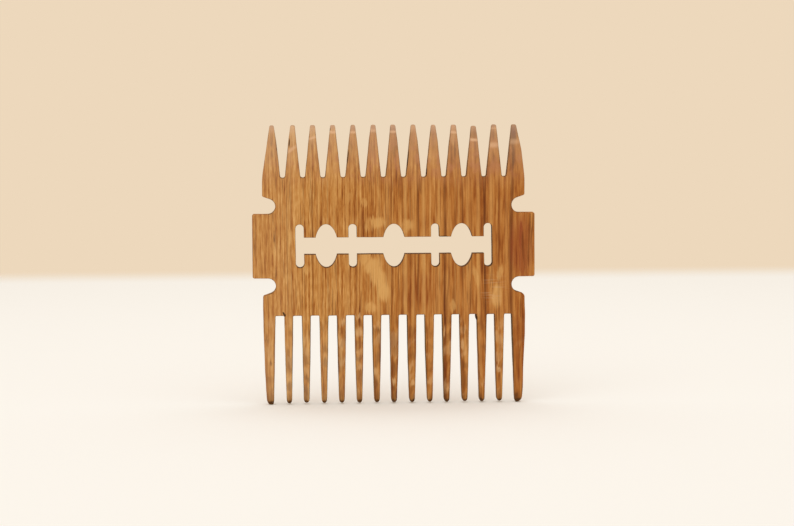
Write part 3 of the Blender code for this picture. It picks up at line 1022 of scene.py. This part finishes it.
# Patches on the teeth and beside the left tab: half width, half height and strength, which is
# above 0 for pale ones and below 0 for dark ones
TOOTH_PATCHES = (
    (290, 361, 1.1, 1.3, 0.55), (290, 368.5, 1.2, 1.1, -0.42),
    (289.5, 377, 1, 0.8, 0.4), (289.5, 385.5, 1.2, 2.2, -0.45),
    (307, 352, 1.1, 2, 0.4), (306.5, 371, 1, 1.2, 0.35),
    (307, 378.5, 1.1, 1.1, -0.45), (306.5, 391, 1.2, 2, -0.45),
    (325, 348, 1.1, 1.6, -0.35), (325, 355.5, 0.9, 1, 0.25),
    (325, 362.5, 1.1, 2, -0.4), (342.5, 323, 1.2, 1.5, 0.5),
    (342.5, 332.5, 1.2, 1, -0.25), (341.5, 343, 1.2, 1.8, 0.6),
    (341.5, 351, 1.1, 1, -0.25), (342, 361, 1.2, 1.4, 0.55),
    (358.5, 317.5, 1.5, 0.9, 0.45), (359, 322.5, 1.6, 0.9, -0.28),
    (359, 332, 1.4, 1.9, 0.5), (359, 344, 1.8, 1.2, -0.28),
    (359.5, 351.5, 1.3, 1, 0.45), (359.5, 358, 1.6, 1, -0.38),
    (359.5, 367, 1.2, 1.4, 0.45), (359.5, 377, 1.4, 2, -0.25),
    (376.5, 329.5, 1.3, 1.2, -0.35), (376.5, 341, 1, 1.6, 0.3),
    (376, 372, 1, 1.8, 0.55), (375.5, 385, 1.2, 2.6, -0.45),
    (394, 343, 1.5, 5, -0.28), (393, 368, 1.2, 3.5, -0.45),
    (394, 381.5, 0.8, 1.4, 0.6), (392.5, 388, 1.1, 1.2, -0.45),
    (412.5, 381.5, 0.8, 1.2, 0.5), (428.5, 382.5, 0.8, 1, 0.4),
    (445.6, 323, 0.5, 2.2, -0.55), (444.2, 332, 0.4, 2, 0.5),
    (447, 390, 0.8, 0.9, 0.6), (463, 328, 0.4, 3.4, -0.6),
    (462.5, 345, 0.7, 2.4, 0.6), (462, 366, 0.6, 3, -0.4),
    (498.7, 370, 0.9, 1.3, 0.55), (516, 396.5, 0.9, 1.5, -0.6),
    (522.7, 387, 0.35, 3.4, -0.8), (273.7, 237.5, 0.35, 2, -0.6),
    (275.8, 273, 0.25, 3.2, -0.4), (267.5, 340.6, 0.9, 1, -0.4),
    (270.5, 363, 0.5, 0.9, -0.5), (269.5, 354, 0.8, 2.4, 0.35),
    (293.6, 137, 0.8, 3.4, 0.7), (291.5, 130, 1.4, 3, 0.6),
    (312, 133, 1.4, 4.6, 0.6), (453, 137, 1.2, 3.4, 0.35),
    (271.6, 144, 0.5, 1.2, -0.45), (272, 155, 0.8, 1.4, -0.35),
    (454.8, 153, 0.4, 3.2, -0.5), (513, 135, 1.5, 4.2, -0.8),
    (472.5, 131.5, 1.3, 3.6, -0.35), (493, 134.5, 1.3, 3.2, -0.25),
    (513.5, 158, 0.45, 5.5, -0.6), (310.2, 147, 0.6, 3, -0.22),
    (330.5, 146, 0.6, 2.6, -0.2), (350.6, 148, 0.7, 3.6, -0.3),
    (372.8, 147, 0.9, 3.2, -0.26), (393.6, 146, 1, 4.2, -0.34),
    (411.8, 139, 0.8, 3.6, -0.28), (433.4, 143, 0.8, 3.4, -0.22),
    (452, 160, 0.5, 2.2, -0.3), (493.2, 156, 0.8, 2.8, -0.26),
)
PATCH_CORE = 0.4

# The long teeth's cloudy figure: whether it is pale or dark, the noise between which it comes in,
# how strong it gets, and its colour
CROSS_FIGURE = (
    (1, 0.52, 0.66, 0.42, FIGURE_CREAM),
    (-1, 0.48, 0.34, 0.36, LINE_BROWN),
)

# Blackened edges of the short teeth: half width, half height and tilt
EDGE_BURNS = (
    (289.3, 143, 0.22, 1.7, 5), (276.9, 149.5, 0.18, 0.8, -7),
    (330, 129.5, 0.2, 0.7, 7), (390, 129, 0.18, 0.9, 7),
    (348.1, 157, 0.17, 2.6, 6), (407.6, 161, 0.26, 4, 7),
    (426.6, 172, 0.2, 1.6, 5),
)

# Tooth edges burnt browner by the saw and darkened with painted shade more than the others: half
# height
BURNT_AND_SHADED_EDGES = (
    (303.5, 355, 13), (339, 355, 13), (374, 355, 13), (409, 350, 12), (426.5, 350, 12),
    (442.5, 350, 10), (293.5, 355, 12), (310, 355, 13), (327.5, 355, 12), (512, 340, 8),
    (522.5, 380, 7),
)
EDGE_HALF_WIDTH = 1.3
EDGE_STRENGTH = 0.8
EDGE_CORE = 0.7

# Small tears at the roots of two long teeth, and painted shade along an arris in the cut-out,
# given as the blackened edges are
TEARS_AND_SHADED_ARRIS = (
    (283.9, 314, 0.36, 0.85, -28), (284.8, 315.4, 0.4, 0.5, 0),
    (476.2, 318, 0.55, 1.3, 0), (443.5, 236.2, 1.6, 0.22, 0),
)
MARK_STRENGTH = 0.9
MARK_CORE = 0.5


def new_material(name):
    material = bpy.data.materials.new(name)
    material.use_nodes = True
    return material, material.node_tree, material.node_tree.nodes["Principled BSDF"]


def oiled_oak():
    material, tree, shader = new_material("oiled_oak")
    source = tree.nodes.new("ShaderNodeTexCoord")
    place = stretched(source.outputs["Object"], (1 / MM, 1 / MM, 1 / MM))
    x, y, z = split(place)

    # The grain runs up the comb and wanders a little on the way
    slow = centred(cloud(place, *SLOW_WANDER), SLOW_REACH)
    quick = centred(cloud(place, *QUICK_WANDER), QUICK_REACH)
    grain = add(x, slow, quick, times(y, GRAIN_SLANT))

    # It is finer on the comb's left half than on its right half
    packed = maths("MINIMUM", times(grain, LEFT_SCALE), times(grain, RIGHT_SCALE))
    fibre = joined(packed, y, z)

    # Streaks of several widths: long ones count most on the right, short ones on the left
    rightness = ramp(x, *RIGHTNESS)
    broad = cloud(fibre, *BROAD_STREAKS)
    medium = cloud(fibre, *MEDIUM_STREAKS)
    fine = cloud(fibre, *FINE_STREAKS)
    bold = times(centred(medium, MEDIUM_TONE), ramp(x, *MEDIUM_ACROSS))
    long_streaks = add(bold, centred(fine, FINE_TONE))
    hair = cloud(fibre, *HAIR_STREAKS)
    short_streaks = times(centred(hair, HAIR_TONE), ramp(x, *HAIR_ACROSS))
    dashes = centred(cloud(fibre, *DASHES), DASH_TONE)
    fleecy = cloud(fibre, *FLEECE)
    off_vein = maths("SUBTRACT", cloud(fibre, *VEINS), 0.5)
    vein = ramp(maths("ABSOLUTE", off_vein), *VEIN_EDGE)
    evenness = times(ramp(x, *CALM_LEFT), ramp(x, *CALM_RIGHT))
    turns = add(times(packed, 1 / RING), centred(broad, RING_STRAY))
    rings = ramp(maths("SINE", times(turns, 2 * math.pi)), *RING_EDGE)
    lighter, darker = (patches(place, upright(SHADES, sign)) for sign in (1, -1))

    # Patches whose edges are torn along the grain are measured from here
    torn_x = add(x, centred(fleecy, TORN_ACROSS))
    torn_z = add(z, centred(hair, TORN_BY_HAIR), centred(fine, TORN_BY_FINE))
    torn = joined(torn_x, y, torn_z)
    ragged = mask(fibre, *RAGGED)

    # Ray flecks: pale patches, the photo's on the front and others on the back
    front = patches(torn, FLECKS, FLECK_CORE)
    back = times(mask(torn, *BACK_FLECKS), ramp(y, *BACK_HALF))
    flecks = times(maths("MAXIMUM", front, back), ragged)
    tone = add(
        MEAN_TONE,
        times(flecks, FLECK_TONE),
        lighter,
        times(darker, -1),
        times(centred(broad, BROAD_TONE), ramp(x, *BROAD_ACROSS)),
        times(long_streaks, evenness, ramp(z, *STREAKS_UP)),
        short_streaks,
        times(dashes, ramp(x, *DASHES_ACROSS)),
        times(centred(fleecy, FLEECE_TONE), ramp(z, *FLEECE_UP)),
        times(vein, VEIN_TONE),
        times(rings, ramp(x, *RINGS_ACROSS)),
        times(rightness, RIGHT_TONE),
    )
    wood = toned(tone, OAK_TONES)
    wood = blend(rightness, wood, RIGHT_TINT, "MULTIPLY")

    # Growth lines where the photo shows them, broken up along their length
    breaks = mask(fibre, *LINE_BREAKS)
    patchy = times(breaks, ramp(z, *LINES_UP), ramp(z, *LINES_DOWN))
    slant = GRAIN_SLANT * COMB_LOW.y / MM
    for rows, most, tint in GROWTH_LINES:
        lines = (
            line_at(grain, on_front(column, LINE_ROW).x + slant, width, strength)
            for column, width, strength in rows
        )
        wood = blend(times(strongest(lines), patchy, most), wood, tint)

    # Redder places
    reddened = patches(place, upright(REDDENED), RED_CORE)
    wood = blend(times(reddened, ramp(medium, *RED_FIGURE)), wood, OAK_RED)

    # Short dark pores along the grain, under the flecks
    pore = times(mask(fibre, *PORES), mask(fibre, *PORE_ROWS))
    wood = blend(times(pore, PORE_MIX), wood, PORE_BROWN)
    wood = blend(times(flecks, FLECK_MIX), wood, FLECK_TAN)

    # Fine scratches across the grain, rubbed pale
    scratched = patches(place, SCUFFED)
    scratches = mask(place, *SCRATCHES)
    wood = blend(times(scratched, scratches), wood, TOOTH_HAZE)

    # Cloudy cross patches on the long teeth, and the patches that the photo shows
    on_long = times(ramp(z, *LONG_TEETH), ramp(x, *FIGURE_ACROSS))
    slanted = joined(add(torn_x, times(torn_z, CROSS_LEAN)), y, torn_z)
    cross = cloud(slanted, *CROSS_CLOUDS)
    for sign, start, end, most, tint in CROSS_FIGURE:
        cloudy = times(on_long, ramp(cross, start, end, 0, most))
        placed = patches(torn, upright(TOOTH_PATCHES, sign), PATCH_CORE)
        figure = maths("MAXIMUM", cloudy, times(placed, PATCH_MIX))
        wood = blend(times(figure, ragged), wood, tint)

    # Rosy clouds on the short teeth, and a pale haze on both rows
    on_short = times(ramp(z, *SHORT_TEETH), ramp(x, *ROSE_ACROSS))
    wood = blend(times(on_short, mask(place, *ROSY_CLOUDS)), wood, ROSE)
    long_haze = times(ramp(z, *LONG_HAZE), ramp(x, *HAZE_ACROSS))
    haze = add(ramp(z, *SHORT_HAZE), long_haze, ramp(x, *LEFT_HAZE))
    wood = blend(haze, wood, TOOTH_HAZE)

    # Mauve ends of the short teeth, and pale bands across them
    mauve = patches(place, upright(MAUVE_TIPS))
    wood = blend(times(mauve, MAUVE_MIX), wood, TIP_MAUVE)
    bands = [(*row[:2], BAND_HALF_WIDTH, *row[2:]) for row in TOOTH_BANDS]
    wood = blend(patches(place, bands), wood, BAND_CREAM)

    # The long teeth's tips darken towards their ends, partly as darker end grain and partly as
    # painted shade, and their undersides get painted shade
    _, facing_y, facing_z = split(source.outputs["Normal"])
    under = times(ramp(facing_z, *UNDERSIDE), ramp(z, *UNDERSIDE_SHADE_UP))
    end = ramp(add(z, centred(hair, TIP_STRAY)), *ENDS_BROWN_AND_SHADED)
    low = add(ramp(torn_z, *TIPS_BROWN_AND_SHADED), end)
    wood = blend(maths("MAXIMUM", under, low), wood, TIP_BROWN_AND_SHADE)

    # Walls of the cuts are burnt brown by the saw, most of all in the cut-out. On the teeth the
    # walls and their rounded rims are also darkened as painted shade
    facing = maths("ABSOLUTE", facing_y)
    off_centre = maths("ABSOLUTE", x)
    off_line = maths("ABSOLUTE", maths("SUBTRACT", z, SPINE_MIDDLE))
    in_cutout = times(ramp(off_centre, *CUTOUT_ENDS), ramp(off_line, *CUTOUT_TOPS))
    outside = ramp(off_centre, *OUTSIDE)
    rows = [(*row[:2], EDGE_HALF_WIDTH, row[2], 0, EDGE_STRENGTH) for row in BURNT_AND_SHADED_EDGES]
    burnt_and_shaded_edges = patches(place, rows, EDGE_CORE)
    sawn_and_shaded = add(mask(place, *WALL_STREAKS), burnt_and_shaded_edges)
    tooth_rim_burn_and_shade = times(ramp(facing, *TOOTH_RIM_BURN_AND_SHADE), sawn_and_shaded, ramp(outside, 0, 1, 1, 0))
    cutout_turn = ramp(facing, *CUTOUT_WALL)
    cutout_wall = times(cutout_turn, in_cutout, ramp(hair, *CUTOUT_FIGURE))
    grained = times(ramp(z, *FLANKS_DOWN), ramp(hair, *FLANK_FIGURE))
    flank = times(ramp(facing, *FLANK_WALL), outside, grained)
    for wall, tint in ((flank, FLANK_BROWN), (tooth_rim_burn_and_shade, RIM_BURN_AND_SHADE), (cutout_wall, BURNT)):
        wood = blend(wall, wood, tint)

    # The short teeth's ends are rubbed pale, some edges are blackened or torn, and one arris in
    # the cut-out gets painted shade
    rubbed = times(ramp(z, *RUBBED_TIPS), ramp(x, *RUBBED_ACROSS))
    wood = blend(rubbed, wood, TIP_HAZE)
    rows = [(*row, MARK_STRENGTH) for row in EDGE_BURNS + TEARS_AND_SHADED_ARRIS]
    wood = blend(patches(place, rows, MARK_CORE), wood, BLACK_MARKS_AND_SHADE)
    feed(shader.inputs["Base Color"], wood)

    roughness = add(
        ROUGHNESS,
        centred(fine, FINE_ROUGHNESS),
        times(pore, PORE_ROUGHNESS),
        times(flecks, FLECK_ROUGHNESS),
        ramp(facing, *DULL_WALL),
    )
    feed(shader.inputs["Roughness"], roughness)
    shader.inputs["Specular IOR Level"].default_value = SPECULAR
    height = add(times(fine, FINE_RELIEF), times(hair, HAIR_RELIEF), times(pore, PORE_RELIEF))
    bump = tree.nodes.new("ShaderNodeBump")
    bump.inputs["Strength"].default_value = BUMP_STRENGTH
    bump.inputs["Distance"].default_value = BUMP_DEPTH * MM
    feed(bump.inputs["Height"], height)
    feed(shader.inputs["Normal"], bump.outputs["Normal"])
    return material


def pale_floor():
    """A plain pale board that fades into the background at its edges."""
    material, tree, shader = new_material("pale_floor")
    source = tree.nodes.new("ShaderNodeTexCoord")
    place = stretched(source.outputs["Object"], (1 / MM, 1 / MM, 1 / MM))
    x, y, _ = split(place)
    reach = maths("MAXIMUM", maths("ABSOLUTE", x), maths("ABSOLUTE", y))
    shader.inputs["Base Color"].default_value = colour(*FLOOR_PALE)
    shader.inputs["Roughness"].default_value = FLOOR_ROUGHNESS
    shader.inputs["Specular IOR Level"].default_value = 0.0
    glow = tree.nodes.new("ShaderNodeEmission")
    glow.inputs["Color"].default_value = FLOOR_GLOW
    glowing = mixed(times(seen_directly(tree), FLOOR_GLOW_SHARE), shader, glow)
    clear = tree.nodes.new("ShaderNodeBsdfTransparent")
    faded = mixed(ramp(reach, *FLOOR_FADE), glowing, clear)
    feed(tree.nodes["Material Output"].inputs["Surface"], faded.outputs[0])
    return material


def make_floor():
    reach = FLOOR_REACH * MM
    mesh = bpy.data.meshes.new("floor")
    corners = [(-reach, -reach, 0), (reach, -reach, 0), (reach, reach, 0), (-reach, reach, 0)]
    mesh.from_pydata(corners, [], [(0, 1, 2, 3)])
    mesh.materials.append(pale_floor())
    floor = bpy.data.objects.new("floor", mesh)
    bpy.context.scene.collection.objects.link(floor)


def make_world():
    """An even light on the comb, and a plain tan background behind it."""
    world = bpy.data.worlds.new("studio")
    bpy.context.scene.world = world
    world.use_nodes = True
    tree = world.node_tree
    lit = tree.nodes["Background"]
    lit.inputs["Color"].default_value = WORLD_LIGHT
    lit.inputs["Strength"].default_value = WORLD_STRENGTH
    seen = tree.nodes.new("ShaderNodeBackground")
    seen.inputs["Color"].default_value = colour(*BACKGROUND)
    studio = mixed(seen_directly(tree), lit, seen)
    feed(tree.nodes["World Output"].inputs["Surface"], studio.outputs[0])


def make_lamp(name, place, target, size, watts):
    data = bpy.data.lights.new(name, "AREA")
    data.shape = "SQUARE"
    data.size = size * MM
    data.energy = watts
    data.color = LAMP_WHITE
    lamp = bpy.data.objects.new(name, data)
    away = Vector(place) - Vector(target)
    lamp.rotation_euler = away.to_track_quat("Z", "Y").to_euler()
    lamp.location = Vector(place) * MM
    bpy.context.scene.collection.objects.link(lamp)


def make_comb():
    mesh = comb_mesh()
    mesh.materials.append(oiled_oak())
    mesh.shade_smooth()
    mesh.set_sharp_from_angle(angle=SMOOTH_ANGLE)
    comb = bpy.data.objects.new("carved_comb", mesh)
    bpy.context.scene.collection.objects.link(comb)
    weighted = comb.modifiers.new("even_normals", "WEIGHTED_NORMAL")
    weighted.keep_sharp = True
    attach(comb, "root")
    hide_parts("oak_comb")


bpy.context.scene.view_settings.view_transform = "Standard"
make_camera()
make_world()
make_floor()
for lamp_facts in LAMPS:
    make_lamp(*lamp_facts)
make_comb()
